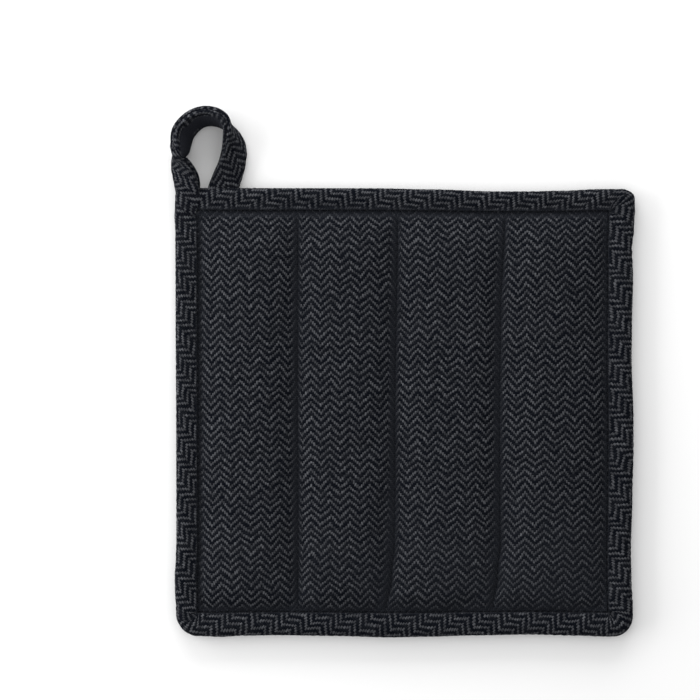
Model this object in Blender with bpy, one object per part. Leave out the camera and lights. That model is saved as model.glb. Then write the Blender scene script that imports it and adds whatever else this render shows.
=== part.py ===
"""A quilted square pot holder with a bound edge and a hanging loop, lying on its back.

Metres, +Z up. The front of the pot holder faces up and its loop is at the back left. The origin
lies on the surface that carries it, under the middle of its bounding box.

Three sewn pieces:
  pad           two faces of herringbone cotton over wadding, stitched into four channels
  binding       a bias strip folded over the pad's edge all round
  hanging_loop  the free end of that strip, turned on edge and tucked in behind the top edge

Every size below is a real size in millimetres. The meshes are made in metres. While it is worked
out, the pot holder's own middle is at x = y = 0.
"""

from math import pi, radians

import bmesh
import bpy
import numpy as np

MM = 0.001

# ---- driving sizes, mm ----
WIDTH = 200.0  # over the binding, left to right
HEIGHT = 195.4  # over the binding, without the loop
GAP = 0.3  # left between the faces of pieces that are sewn together

STRIP = 1.8  # the folded strip's two layers of cloth
BINDING_WIDTH = 10.0  # how far the strip covers the pad
BINDING_THICK = 7.2
FULLEST = 4.0  # distance in from its edge at which the binding is thickest
SEAM_PRESS = 0.24  # how far the seam presses the binding down, as a share of half its thickness
UNDERSIDE = 1.15  # how much fuller the binding's underside would be if it didn't lie flat
SLOT_DEPTH = BINDING_WIDTH - STRIP - 0.4  # how deep the pad's edge goes into the fold
DITCH = 1.4 * GAP  # from the binding's inner edge to the pad's rising face
MIDDLE_Z = BINDING_THICK / 2  # height of the pad's edge over the surface
PAD_EDGE = BINDING_THICK - 2 * STRIP - 2 * GAP  # the pad's thickness, pressed flat in the fold

CROWN_Z = 9.0  # height of the channels' tops
STITCH_FLOOR = 0.18  # how high the front stays at a stitch line, as a share of the crown's rise
BACK_DROP = 3.2  # how far the back would swell if the surface didn't press it flat
END_SWELL = 20.0  # distance over which a channel swells from the binding
CHANNEL_STEPS = 8  # faces across each channel
END_ROWS = (0.9, 2.6, 5.5, 10.0, 16.0)  # rows of points near a channel's end, from the binding
MIDDLE_ROWS = 10

# Corner of the binding, counted anticlockwise, and its radius. The loop's root fills the top left.
CORNER_RADII = {"bottom_right": 8.5, "top_right": 4.5, "top_left": 2.5, "bottom_left": 10.0}
CORNER_STEPS = 5
SIDE_STEPS = 26

# How far each side stands out past its straight line: place along the side, distance out. The
# place is y on the right and left, and x on the top and bottom.
SIDE_WAVES = {
    "right": ((-86, 0.2), (-73, -0.4), (-61, -0.65), (-37, 0.0), (-15, 0.5), (-2, 0.45),
              (24, -0.35), (37, -0.2), (59, 0.3), (72, -0.2), (80, 0.7), (89, 1.1)),
    "top": ((-87, 0.6), (-50, 0.5), (-13, 0.45), (11, 0.0), (40, -0.9), (55, -0.9),
            (69, -0.6), (86, 0.1)),
    "left": ((-85, -0.2), (-79, 0.25), (-72, 0.4), (-64, -0.1), (-56, -0.35), (-14, -0.3),
             (49, 0.0), (78, 0.1), (90, 0.7)),
    "bottom": ((-89, 0.2), (-80, 0.55), (-71, 0.0), (-54, -0.2), (-32, 0.1), (-6, 0.75),
               (11, 0.45), (30, -0.1), (55, -0.5), (77, 0.0), (88, 0.4)),
}
WAVE_REACH = 25.0  # how far past the binding a side's wave fades out

# The three stitch lines: x at the bottom, the middle and the top of the pad.
STITCH_LINES = ((-46.9, -46.7, -46.5), (-6.3, -4.4, -3.0), (39.5, 41.3, 43.5))
CHANNEL_CROWNS = (0.97, 1.0, 0.98, 1.0)  # each channel's crown, as a share of the full one

# The loop's strip from its root at the top left corner round to its tucked end: x and y of its
# middle, how far it is turned from lying with its outer face up, its width and its thickness.
LOOP_ROUTE = (
    (-94.7, 97.0, 0, 10.6, 6.2),
    (-95.5, 101.5, 28, 11.6, 4.8),
    (-96.7, 105.0, 46, 12.6, 4.0),
    (-98.1, 108.6, 61, 13.0, 3.8),
    (-99.3, 111.6, 86, 13.0, 5.2),
    (-98.6, 114.2, 115, 13.0, 4.4),
    (-97.9, 117.2, 123, 13.0, 3.6),
    (-96.4, 122.0, 128, 13.0, 3.6),
    (-93.4, 126.0, 127, 13.0, 3.6),
    (-89.6, 128.5, 122, 13.0, 3.6),
    (-85.5, 129.3, 118, 13.0, 3.6),
    (-81.3, 128.5, 111, 13.0, 3.8),
    (-78.0, 126.0, 97, 13.0, 4.2),
    (-75.2, 120.9, 66, 13.0, 3.8),
    (-74.2, 115.2, 42, 13.0, 3.6),
    (-75.4, 108.4, 29, 13.0, 3.6),
    (-77.5, 102.6, 16, 13.0, 3.6),
    (-79.4, 97.0, 8, 13.0, 3.6),
)
LOOP_STEP = 1.9  # distance between the strip's sections
LOOP_REST = 0.35  # height of the loop's lower edge over the surface
LOOP_LEVELS = 6  # points up each rounded edge of the strip
LOOP_CROWN = 0.25  # how much fuller the strip is at its middle
SEAM = 1.5 * GAP  # from the loop's ends to the binding, along the strip

CHARCOAL = (0.022, 0.024, 0.028, 1.0)


# ---- small tools ----
def clear_scene():
    for old in list(bpy.data.objects):
        bpy.data.objects.remove(old, do_unlink=True)


def eased(at, rows):
    """A value read from rows of place and value, with an S-shaped step between two rows."""
    places, values = np.array(rows, float).T
    row = np.clip(np.searchsorted(places, at) - 1, 0, len(places) - 2)
    part = np.clip((at - places[row]) / (places[row + 1] - places[row]), 0.0, 1.0)
    return values[row] + (values[row + 1] - values[row]) * part * part * (3 - 2 * part)


def swell(part):
    """Height of filled cloth, from 0 at a seam to 1 at the middle of its channel.

    One less the cube of the way that is left to the middle, raised to a power that makes the
    cloth steep where it leaves the seam.
    """
    left = 1.0 - np.clip(part, 0.0, 1.0)
    return (1.0 - left**3) ** 0.6


def fine_route(rows, step):
    """Rows carried to a smooth curve through all of them, about a step apart.

    Between two rows each column is a cubic whose slope at a row is half the difference of the
    rows on either side of it.
    """
    rows = np.array(rows, float)
    before = np.vstack([2 * rows[0] - rows[1], rows, 2 * rows[-1] - rows[-2]])
    slopes = (before[2:] - before[:-2]) / 2
    lengths = np.linalg.norm(np.diff(rows[:, :2], axis=0), axis=1)
    fine = []
    for start, end, out, into, length in zip(rows, rows[1:], slopes, slopes[1:], lengths):
        t = np.arange(0, 1, 1 / max(1, round(length / step)))[:, None]
        fine.append(
            start * (2 * t**3 - 3 * t**2 + 1)
            + out * (t**3 - 2 * t**2 + t)
            + end * (3 * t**2 - 2 * t**3)
            + into * (t**3 - t**2)
        )
    return np.vstack([*fine, rows[-1:]])


def tube_faces(sections, around, closed):
    """Four-sided faces between neighbouring sections of points, each section a closed line."""
    last = sections if closed else sections - 1
    return [
        (
            i * around + j,
            (i + 1) % sections * around + j,
            (i + 1) % sections * around + (j + 1) % around,
            i * around + (j + 1) % around,
        )
        for i in range(last)
        for j in range(around)
    ]


# ---- outline and binding ----
def outline(inset):
    """The pot holder's outline at a distance in from its edge, anticlockwise from the bottom right.

    A rectangle whose corners are arcs, pushed out along its normal by the waves of its sides.
    Every inset has the same number of points, and points of the same number lie abreast.
    """
    half = np.array([WIDTH, HEIGHT]) / 2 - inset
    signs = np.array([(1, -1), (1, 1), (-1, 1), (-1, -1)])
    arcs, normals = [], []
    for k, (sign, radius) in enumerate(zip(signs, CORNER_RADII.values())):
        angle = radians(-90 + 90 * k) + np.linspace(0, pi / 2, CORNER_STEPS + 1)
        normal = np.stack([np.cos(angle), np.sin(angle)], axis=1)
        r = max(radius - inset, GAP)
        arcs.append(sign * (half - r) + r * normal)
        normals.append(normal)
    points, directions = [], []
    for k in range(4):
        points.append(arcs[k])
        directions.append(normals[k])
        t = np.linspace(0, 1, SIDE_STEPS + 1)[1:-1, None]
        points.append(arcs[k][-1] + (arcs[(k + 1) % 4][0] - arcs[k][-1]) * t)
        directions.append(np.repeat(normals[k][-1:], len(t), axis=0))
    points, directions = np.vstack(points), np.vstack(directions)
    return points + directions * waves(points, directions)


def waves(points, directions):
    """How far out the sides that a direction faces stand, in x and in y."""
    x, y = points.T
    across = np.where(
        directions[:, 0] > 0, eased(y, SIDE_WAVES["right"]), eased(y, SIDE_WAVES["left"])
    )
    up = np.where(
        directions[:, 1] > 0, eased(x, SIDE_WAVES["top"]), eased(x, SIDE_WAVES["bottom"])
    )
    return np.stack([across, up], axis=1)


def binding_profile():
    """Half of the fold's outer line: distance in from the edge, and height over its middle.

    It is round at the edge, fullest about a third of the way in and pressed down at the seam.
    """
    round_part = FULLEST * np.array([0.0, 0.07, 0.26, 0.6, 1.0])
    inset = np.concatenate([round_part, BINDING_WIDTH - np.array([3.0, 0.8, 0.0])])
    rounding = (1.0 - np.clip(1.0 - inset / FULLEST, 0.0, 1.0) ** 2.4) ** 0.5
    pressed = SEAM_PRESS * np.clip((inset - FULLEST) / (BINDING_WIDTH - FULLEST), 0.0, 1.0) ** 2
    return inset, MIDDLE_Z * (rounding - pressed)


def binding_points():
    """Sections of the fold abreast all round, each from the top seam out, under and back in."""
    inset, rise = binding_profile()
    under = -np.minimum(UNDERSIDE * rise, MIDDLE_Z)
    slot = BINDING_WIDTH - SLOT_DEPTH
    lip = MIDDLE_Z - STRIP
    profile = (
        list(zip(inset[::-1], rise[::-1]))
        + list(zip(inset[1:], under[1:]))
        + [(BINDING_WIDTH, -lip), (slot, -lip), (slot, lip), (BINDING_WIDTH, lip)]
    )
    rings = [
        np.column_stack([outline(s), np.full(len(outline(s)), MIDDLE_Z + z)]) for s, z in profile
    ]
    return np.stack(rings, axis=1)


# ---- pad ----
def channel_edges(y):
    """x of the seams on either side of each channel, for each y: the binding's and the stitch lines."""
    half_w = WIDTH / 2 - BINDING_WIDTH - DITCH
    half_h = HEIGHT / 2 - BINDING_WIDTH
    lines = [eased(y, tuple(zip((-half_h, 0, half_h), line))) for line in STITCH_LINES]
    return np.array([np.full_like(y, -half_w), *lines, np.full_like(y, half_w)])


def pad_grid():
    """Columns and rows of the pad's points: x, y, and the share of the crown's rise at each."""
    rim = BINDING_WIDTH - SLOT_DEPTH + GAP
    rim_x, rim_y = WIDTH / 2 - rim, HEIGHT / 2 - rim
    end = HEIGHT / 2 - BINDING_WIDTH - DITCH
    near = end - np.array(END_ROWS)
    middle = np.linspace(-near[-1], near[-1], MIDDLE_ROWS + 1)[1:-1]
    y = np.concatenate([[-rim_y, -end], -near, middle, near[::-1], [end, rim_y]])
    edges = channel_edges(y)
    across = (1 - np.cos(np.linspace(0, pi, CHANNEL_STEPS + 1))) / 2
    ends = swell((end - np.abs(y)) / END_SWELL)
    columns, front, back = [np.full_like(y, -rim_x)], [np.zeros_like(y)], [np.zeros_like(y)]
    for k, crown in enumerate(CHANNEL_CROWNS):
        floor_left = STITCH_FLOOR if k > 0 else 0.0
        floor_right = STITCH_FLOOR if k < len(CHANNEL_CROWNS) - 1 else 0.0
        for u in across[: None if k == len(CHANNEL_CROWNS) - 1 else -1]:
            rise = crown * swell(1 - abs(2 * u - 1))
            floor = floor_left + (floor_right - floor_left) * u
            columns.append(edges[k] + (edges[k + 1] - edges[k]) * u)
            front.append((floor + (1 - floor) * rise) * ends)
            back.append(rise * ends)
    columns.append(np.full_like(y, rim_x))
    front.append(np.zeros_like(y))
    back.append(np.zeros_like(y))
    x = np.array(columns)
    return x, np.broadcast_to(y, x.shape), np.array(front), np.array(back)


def shaped_to_outline(x, y):
    """Points of the square grid pushed out with the waves and drawn in at the round corners."""
    rim = BINDING_WIDTH - SLOT_DEPTH + GAP
    half = np.array([WIDTH, HEIGHT]) / 2 - rim
    points = np.stack([x, y], axis=-1).reshape(-1, 2)
    for sign, radius in zip(((1, -1), (1, 1), (-1, 1), (-1, -1)), CORNER_RADII.values()):
        r = max(radius - rim, GAP)
        past = points * sign - (half - r)
        inside = (past > 0).all(axis=1)
        drawn = past * (past.max(axis=1) / np.maximum(np.hypot(*past.T), 1e-9))[:, None]
        points[inside] = ((half - r) + drawn[inside]) * sign
    past_seam = half - np.abs(points) - BINDING_WIDTH
    near = 1 - np.clip(past_seam / WAVE_REACH, 0.0, 1.0)
    points = points + np.sign(points) * near * waves(points, np.sign(points))
    return points.reshape(*x.shape, 2)


def pad_points_and_faces():
    """Front grid and back grid of the pad, joined round the rim by one row of faces.

    The back swells as the front does, and is flat where the surface would cut it.
    """
    x, y, front, back = pad_grid()
    plan = shaped_to_outline(x, y).reshape(-1, 2)
    top_edge, low_edge = MIDDLE_Z + PAD_EDGE / 2, MIDDLE_Z - PAD_EDGE / 2
    top = top_edge + (CROWN_Z - top_edge) * front.ravel()
    low = np.maximum(low_edge - BACK_DROP * back.ravel(), 0.0)
    points = np.vstack([np.column_stack([plan, top]), np.column_stack([plan, low])])
    columns, rows = x.shape
    index = np.arange(columns * rows).reshape(columns, rows)
    quads = np.stack([index[:-1, :-1], index[1:, :-1], index[1:, 1:], index[:-1, 1:]], axis=-1)
    front_faces = quads.reshape(-1, 4)
    back_faces = front_faces[:, ::-1] + columns * rows
    rim = np.concatenate([index[:, 0], index[-1, 1:], index[-2::-1, -1], index[0, -2:0:-1]])
    following = np.roll(rim, -1)
    below = columns * rows
    rim_faces = np.stack([rim, rim + below, following + below, following], axis=1)
    return points, np.vstack([front_faces, back_faces, rim_faces]).tolist()


# ---- hanging loop ----
def wall_y(x, z):
    """y of the binding's outer face along its top edge, at a height over the surface."""
    inset, rise = binding_profile()
    round_part = rise.argmax() + 1
    rise, inset = rise[:round_part], inset[:round_part]
    above = np.interp(z - MIDDLE_Z, rise, inset)
    below = np.interp(MIDDLE_Z - z, UNDERSIDE * rise, inset)
    edge = HEIGHT / 2 + eased(x, SIDE_WAVES["top"])
    return edge - np.where(z > MIDDLE_Z, above, below)


def strip_section(width, thick):
    """Section of the folded strip: along its width and through its thickness.

    Its edges are half circles, and its two faces are a little fuller in the middle.
    """
    level = np.linspace(-pi / 2, pi / 2, LOOP_LEVELS)
    r = thick / 2
    edge, rise = width / 2 - r + r * np.cos(level), r * np.sin(level)
    third = (width / 2 - r) / 3
    full = r + LOOP_CROWN
    outer = [*zip(edge, rise), (third, full), (-third, full)]
    return np.array(outer + [(-e, -h) for e, h in outer])


def loop_points():
    """Sections of the strip along its route, turned about it, with both ends fitted to the binding."""
    route = fine_route(LOOP_ROUTE, LOOP_STEP)
    middle = route[:, :2]
    along = np.gradient(middle, axis=0)
    along /= np.linalg.norm(along, axis=1)[:, None]
    sections = []
    for (x, y, turn, width, thick), (ax, ay) in zip(route, along):
        outward = np.array([-ay, ax, 0.0])
        up = np.array([0.0, 0.0, 1.0])
        c, s = np.cos(radians(turn)), np.sin(radians(turn))
        across, through = c * outward - s * up, s * outward + c * up
        height = LOOP_REST + s * (width - thick) / 2 + thick / 2
        section = strip_section(width, thick)
        sections.append(
            np.array([x, y, height]) + section[:, :1] * across + section[:, 1:] * through
        )
    for end in (0, -1):
        slide = wall_y(sections[end][:, 0], sections[end][:, 2]) + SEAM - sections[end][:, 1]
        sections[end][:, :2] += slide[:, None] * along[end] / along[end][1]
    return np.stack(sections)


def ladder_faces(first, levels, around):
    """An end of the strip closed by faces between points at the same level on its two edges."""
    right = [first + k for k in range(levels)]
    left = [first + (around // 2 + levels - 1 - k) for k in range(levels)]
    over = [first + levels, first + levels + 1]
    under = [first + around - 2, first + around - 1]
    rungs = [(right[k], right[k + 1], left[k + 1], left[k]) for k in range(1, levels - 2)]
    rungs.append((right[-2], right[-1], *over, left[-1], left[-2]))
    rungs.append((left[1], left[0], *under, right[0], right[1]))
    return rungs


# ---- Blender objects ----
def cotton(name):
    material = bpy.data.materials.new(name)
    material.use_nodes = True
    shader = material.node_tree.nodes["Principled BSDF"]
    shader.inputs["Base Color"].default_value = CHARCOAL
    shader.inputs["Roughness"].default_value = 0.9
    shader.inputs["Metallic"].default_value = 0.0
    return material


def piece(name, points, faces, holder):
    """A closed mesh of one sewn piece, its faces turned outwards."""
    mesh = bpy.data.meshes.new(name)
    mesh.from_pydata((points * MM).tolist(), [], faces)
    shell = bmesh.new()
    shell.from_mesh(mesh)
    bmesh.ops.recalc_face_normals(shell, faces=shell.faces)
    shell.to_mesh(mesh)
    shell.free()
    mesh.shade_smooth()
    mesh.set_sharp_from_angle(angle=radians(50))
    mesh.materials.append(cotton(name + "_cotton"))
    thing = bpy.data.objects.new(name, mesh)
    bpy.context.collection.objects.link(thing)
    thing.parent = holder
    return thing


def build():
    clear_scene()
    binding = binding_points()
    loop = loop_points()
    pad, pad_faces = pad_points_and_faces()

    everything = np.vstack([binding.reshape(-1, 3), loop.reshape(-1, 3), pad])
    low, high = everything.min(axis=0), everything.max(axis=0)
    origin = np.array([(low[0] + high[0]) / 2, (low[1] + high[1]) / 2, low[2]])

    holder = bpy.data.objects.new("pot_holder", None)
    bpy.context.collection.objects.link(holder)
    sections, around = binding.shape[:2]
    ring = tube_faces(sections, around, closed=True)
    piece("binding", binding.reshape(-1, 3) - origin, ring, holder)
    sections, around = loop.shape[:2]
    strip = tube_faces(sections, around, closed=False)
    for first in (0, (sections - 1) * around):
        strip += ladder_faces(first, LOOP_LEVELS, around)
    piece("hanging_loop", loop.reshape(-1, 3) - origin, strip, holder)
    piece("pad", pad - origin, pad_faces, holder)


build()
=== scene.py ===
# %% [markdown]
# # A quilted pot holder with a hanging loop
#
# This lesson sews a pot holder in Blender: two faces of herringbone cotton over wadding,
# stitched into four channels, with a strip of the same cotton folded over the edge all round.
# At the top left corner that strip runs on past the edge, twists once, goes round in a loop and
# is tucked in behind the top edge. The pot holder lies flat on a pale table and is seen from
# straight above.
#
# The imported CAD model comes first. It is the frame: the pad and the strip below take the place
# of its solids, and have to stay where they are.

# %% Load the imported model
from functools import partialmethod
from math import pi, radians, sqrt

import bmesh
import bpy
import numpy as np
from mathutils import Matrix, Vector
from mathutils.bvhtree import BVHTree


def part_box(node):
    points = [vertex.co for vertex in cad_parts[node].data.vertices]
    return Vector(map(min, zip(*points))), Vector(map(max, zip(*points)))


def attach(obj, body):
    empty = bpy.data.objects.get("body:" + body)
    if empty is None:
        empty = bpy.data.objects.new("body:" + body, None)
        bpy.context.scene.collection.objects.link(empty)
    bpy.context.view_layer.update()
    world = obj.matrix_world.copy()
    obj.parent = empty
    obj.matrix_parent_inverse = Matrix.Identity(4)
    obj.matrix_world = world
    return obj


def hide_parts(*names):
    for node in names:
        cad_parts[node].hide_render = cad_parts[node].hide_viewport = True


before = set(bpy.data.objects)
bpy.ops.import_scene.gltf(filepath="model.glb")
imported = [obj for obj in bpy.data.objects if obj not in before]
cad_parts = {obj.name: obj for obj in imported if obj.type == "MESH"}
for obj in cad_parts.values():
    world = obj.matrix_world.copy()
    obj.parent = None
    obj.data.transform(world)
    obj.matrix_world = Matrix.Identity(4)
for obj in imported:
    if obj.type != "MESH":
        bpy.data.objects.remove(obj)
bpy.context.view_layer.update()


# %% [markdown]
# ## Sizes
#
# Everything is worked out in millimetres with the middle of the square at x = y = 0, and turned
# into the frame's metres at the very end. The frame's origin is the middle of the whole box, and
# the loop makes that box longer at the top, so the square's middle lies 17 mm nearer than it.

# %% Sizes and the way into the frame
MM = 0.001
FRAME_ORIGIN = np.array([-0.678, 17.42, 0.0])  # where the frame's origin is on the pot holder
WIDTH, HEIGHT = 200.0, 195.4  # over the binding
BINDING_WIDTH = 10.0
BINDING_HALF = 3.6  # half the binding's thickness
MIDDLE_Z = 3.6  # height of the pad's edge over the table
rng = np.random.default_rng(20)


def in_frame(points):
    """Millimetres from the square's middle, made metres from the frame's origin."""
    return (np.asarray(points, float) - FRAME_ORIGIN) * MM


def in_scene(name, data):
    """A new object at the origin, for a mesh, a lamp or a camera."""
    thing = bpy.data.objects.new(name, data)
    bpy.context.collection.objects.link(thing)
    return thing


print("square's middle in the frame, mm:", (in_frame([0, 0, 0]) / MM).round(2), "in the CAD:",
      [round(500 * (a + b), 2) for a, b in zip(*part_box("binding"))][:2])

# %% [markdown]
# ## Camera, table and light
#
# The photograph was taken from straight above with a long lens, so the edges show almost no
# side. A camera 2 m up gives that view, and the picture's width, 306 mm on the pot holder, sets
# its lens. The pot holder stands to the right of the picture's middle because the camera looks
# past it, not because the lens is shifted.

# %% Camera
PICTURE_WIDTH = 306.35  # mm across the picture, at the height of the cloth
PICTURE_MIDDLE = (-23.63, 27.35, 4.0)
CAMERA_HEIGHT = 2.0  # over the cloth, m
SENSOR_WIDTH = 36.0

camera_data = bpy.data.cameras.new("camera")
camera_data.sensor_width = SENSOR_WIDTH
camera_data.lens = SENSOR_WIDTH * CAMERA_HEIGHT / (PICTURE_WIDTH * MM)
camera_data.clip_start, camera_data.clip_end = 0.1, 20.0  # m
camera = in_scene("camera", camera_data)
camera.location = in_frame(PICTURE_MIDDLE)
camera.location.z += CAMERA_HEIGHT
bpy.context.scene.camera = camera
print("lens in mm:", round(camera_data.lens, 1))

# %% [markdown]
# The table is a white sheet, lit so brightly that it turns plain white in the picture. More than
# half of the light comes from all round, and the rest from two lamps at the left and beyond the
# top edge. They are low, so they brighten every slope that faces them and lay a broad, faint
# shadow to the right and below; and long, so that shadow has no sharp edge.

# %% Table
TABLE_HALF = 2.0  # m
TABLE_WHITE = (0.9, 0.9, 0.9, 1.0)


def material_with(name, values):
    """A new material with plain values on its shader's own sockets."""
    material = bpy.data.materials.new(name)
    material.use_nodes = True
    for socket, value in values.items():
        material.node_tree.nodes["Principled BSDF"].inputs[socket].default_value = value
    return material


table_mesh = bpy.data.meshes.new("table")
corners = TABLE_HALF * np.array([(-1, -1, 0), (1, -1, 0), (1, 1, 0), (-1, 1, 0)])
table_mesh.from_pydata(corners.tolist(), [], [(0, 1, 2, 3)])
table_paint = material_with("white table", {"Base Color": TABLE_WHITE, "Roughness": 0.8})
table_mesh.materials.append(table_paint)
table = in_scene("table", table_mesh)


# %% Light
LAMP_LENGTH, LAMP_HEIGHT, LAMP_WATTS = 1.2, 0.42, 8.3  # sizes in m
SKY_STRENGTH = 0.715


def soft_lamp(name, place):
    """A long lamp at a place in metres, turned to face the pot holder."""
    data = bpy.data.lights.new(name, "AREA")
    data.shape, data.size, data.size_y = "RECTANGLE", LAMP_LENGTH, LAMP_HEIGHT
    data.energy = LAMP_WATTS
    lamp = in_scene(name, data)
    lamp.location = place
    lamp.rotation_mode = "QUATERNION"
    lamp.rotation_quaternion = lamp.location.to_track_quat("Z", "Y")


soft_lamp("left lamp", (-0.85, 0.05, 0.31))
soft_lamp("far lamp", (-0.05, 0.85, 0.31))
sky = bpy.data.worlds.new("studio")
sky.use_nodes = True
background = sky.node_tree.nodes["Background"].inputs
background["Color"].default_value = (1.0, 1.0, 1.0, 1.0)
background["Strength"].default_value = SKY_STRENGTH
bpy.context.scene.world = sky
bpy.context.scene.view_settings.view_transform = "Standard"

# %% [markdown]
# ## The weave
#
# The cotton is a herringbone twill. Pale yarns, the ends, run up the cloth, and dark yarns, the
# picks, cross them. Each pale yarn passes over two dark ones and under two, and its neighbour
# does the same one pick further on, so the pale floats line up in a slanting rib. After five
# ends the step changes direction, which turns the ribs into zigzags.
#
# Instead of an image of cloth, a node group works the weave out from its rule, so it stays sharp
# from any distance and each material can lay it straight or on the bias. `Signal` lets the rule
# be written as sums rather than as a list of nodes.

# %% Sums written as nodes
def placed(tree, node_type, inputs=None, **settings):
    """A new node with its settings, whose inputs are linked to sockets or set to values."""
    node = tree.nodes.new(node_type)
    for name, value in settings.items():
        setattr(node, name, value)
    for key, value in (inputs or {}).items():
        if isinstance(value, Signal):
            value = value.socket
        if isinstance(value, bpy.types.NodeSocket):
            tree.links.new(value, node.inputs[key])
        else:
            node.inputs[key].default_value = value
    return node


class Signal:
    """A number that a node tree works out at each point of a surface."""

    def __init__(self, tree, socket):
        self.tree, self.socket = tree, socket

    def do(self, operation, *others):
        inputs = dict(enumerate((self, *others)))
        node = placed(self.tree, "ShaderNodeMath", inputs, operation=operation)
        return Signal(self.tree, node.outputs[0])

    __add__ = partialmethod(do, "ADD")
    __sub__ = partialmethod(do, "SUBTRACT")
    __mul__ = partialmethod(do, "MULTIPLY")
    __truediv__ = partialmethod(do, "DIVIDE")

    def __rsub__(self, other):
        return self * -1.0 + other

    def share(self):
        """Kept between 0 and 1."""
        return self.do("MINIMUM", 1.0).do("MAXIMUM", 0.0)


# %% [markdown]
# The group reads a point on the cloth in metres: x across the ends, y along them. It pushes that
# point about a little, because yarns wander, and finds which end and which pick it is in, which
# of the two lies on top there, and how far the point is from the middle of that float. A float
# is round across and dips at its two ends, and the material turns that height into relief.

# %% The herringbone group
def herringbone_group():
    """Pale over dark 2/2 twill whose step turns round after a number of ends."""
    tree = bpy.data.node_groups.new("herringbone weave", "ShaderNodeTree")
    # one input and one colour carry painted shade for the ditch and the creases
    inputs = {"Cloth Point": "Vector", "End Width": "Float", "Pick Height": "Float",
              "Ends to Turn": "Float", "Wander": "Float", "Painted Seam Shade": "Float",
              "Dark Yarn": "Color", "Pale Yarn": "Color", "Seam Shade Colour": "Color"}
    outputs = {"Color": "Color", "Height": "Float"}
    for way, sockets in (("INPUT", inputs), ("OUTPUT", outputs)):
        for name, kind in sockets.items():
            tree.interface.new_socket(name, in_out=way, socket_type="NodeSocket" + kind)
    given = tree.nodes.new("NodeGroupInput").outputs

    def number(name):
        return Signal(tree, given[name])

    def x_and_y(vector):
        node = placed(tree, "ShaderNodeSeparateXYZ", {0: vector})
        return [Signal(tree, node.outputs[axis]) for axis in range(2)]

    def noise(scale, output="Fac", detail=1.0):
        node = placed(tree, "ShaderNodeTexNoise", {"Vector": given["Cloth Point"],
                                                   "Scale": scale, "Detail": detail})
        return Signal(tree, node.outputs[output])

    def chance(x, y):
        pair = placed(tree, "ShaderNodeCombineXYZ", {"X": x, "Y": y}).outputs[0]
        node = placed(tree, "ShaderNodeTexWhiteNoise", {"Vector": pair}, noise_dimensions="2D")
        return Signal(tree, node.outputs["Value"])

    def float_height(off_middle, roundness, along_float, power):
        """Half an ellipse across the float, less a power of the way to its ends."""
        rounded = (1.0 - off_middle * off_middle * roundness).do("MAXIMUM", 0.0).do("SQRT")
        dip = along_float.do("ABSOLUTE").do("POWER", power)
        return rounded * (1.0 - dip * 0.75).share()

    # the yarns wander, slowly over the breadth of a zigzag and a little within it
    point, broad, fine = (x_and_y(vector) for vector in (
        given["Cloth Point"], noise(95.0, "Color"), noise(250.0, "Color")))
    across, along = (p + ((b - 0.5) * 4.8 + (f - 0.5) * 3.0) * number("Wander")
                     for p, b, f in zip(point, broad, fine))

    # which end and which pick, and how far the point is from the middle of each, -1 to 1
    end, pick = across / number("End Width"), along / number("Pick Height")
    end_number, pick_number = end.do("FLOOR"), pick.do("FLOOR")
    in_end, in_pick = end - end_number, pick - pick_number
    off_end, off_pick = in_end * 2.0 - 1.0, in_pick * 2.0 - 1.0

    # the step counts down for five ends and up for five
    turn = number("Ends to Turn")
    in_stripe = end_number.do("FLOORED_MODULO", turn * 2.0)
    going_up = in_stripe.do("GREATER_THAN", turn - 0.5)
    stepped = pick + (in_stripe - turn).do("ABSOLUTE")
    phase = stepped.do("FLOORED_MODULO", 4.0)
    float_number = (stepped / 4.0).do("FLOOR")
    float_length = chance(end_number + 0.71, float_number) * 0.35 + 1.65
    pale_on_top = phase.do("LESS_THAN", float_length)
    dark_on_top = 1.0 - pale_on_top

    # a pale float is about two picks long and one end wide, a dark one two ends and one pick
    pale_height = float_height(off_end, 0.8, phase / float_length * 2.0 - 1.0, 4.0)
    second = phase.do("FLOOR") - 2.0
    place_up = second + in_end - 1.0
    place_down = (1.0 - second) + in_end - 1.0
    place = place_up * going_up + place_down * (1.0 - going_up)
    dark_height = float_height(off_pick, 0.92, place, 3.0)
    fibres = noise(5200.0, detail=2.0) - 0.5
    relief = pale_height * pale_on_top + dark_height * dark_on_top * 0.8 + fibres * 0.22

    # each float and each yarn is a little paler or darker than the next
    each_float = chance(end_number, float_number) * 0.7 + 0.6
    each_yarn = chance(end_number + 0.37, 3.0) * 0.24 + 0.88
    slub = noise(420.0) * 1.7 + noise(1900.0) * 1.7 - 0.7
    pale_share = pale_on_top * pale_height.do("POWER", 0.7) * each_float * each_yarn * slub
    dusty = chance(pick_number, float_number + 0.61) * dark_height * dark_on_top * 0.14
    pale_share = (pale_share + dusty + (fibres + 0.12) * 0.10).do("MAXIMUM", 0.0)
    yarns = placed(tree, "ShaderNodeMix", {0: pale_share, 6: given["Dark Yarn"],
                                           7: given["Pale Yarn"]}, data_type="RGBA",
                   clamp_factor=False)
    # painted seam shade: in the ditch and the creases, pale and dark floats blend into one dark
    # tone that stands in for the shade there
    mix = placed(tree, "ShaderNodeMix", {0: number("Painted Seam Shade") * 0.8, 6: yarns.outputs[2],
                                         7: given["Seam Shade Colour"]}, data_type="RGBA")
    result = tree.nodes.new("NodeGroupOutput").inputs
    tree.links.new(mix.outputs[2], result["Color"])
    tree.links.new(relief.socket, result["Height"])
    return tree


weave = herringbone_group()
print("nodes in the weave group:", len(weave.nodes))

# %% [markdown]
# ## Two cottons and a thread
#
# Pad and strip are cut from the same cloth, so one function makes both materials. The weave is
# straight on the pad, and at 45 degrees on the strip, because a strip that has to bend round
# corners is cut on the bias. The cloth is matt, with a little sheen from fibres that stand up.
# The pattern follows each piece's own UV map, which holds the place on the flat cloth in
# metres, so that the zigzags crowd together wherever the cloth dips.

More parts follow.
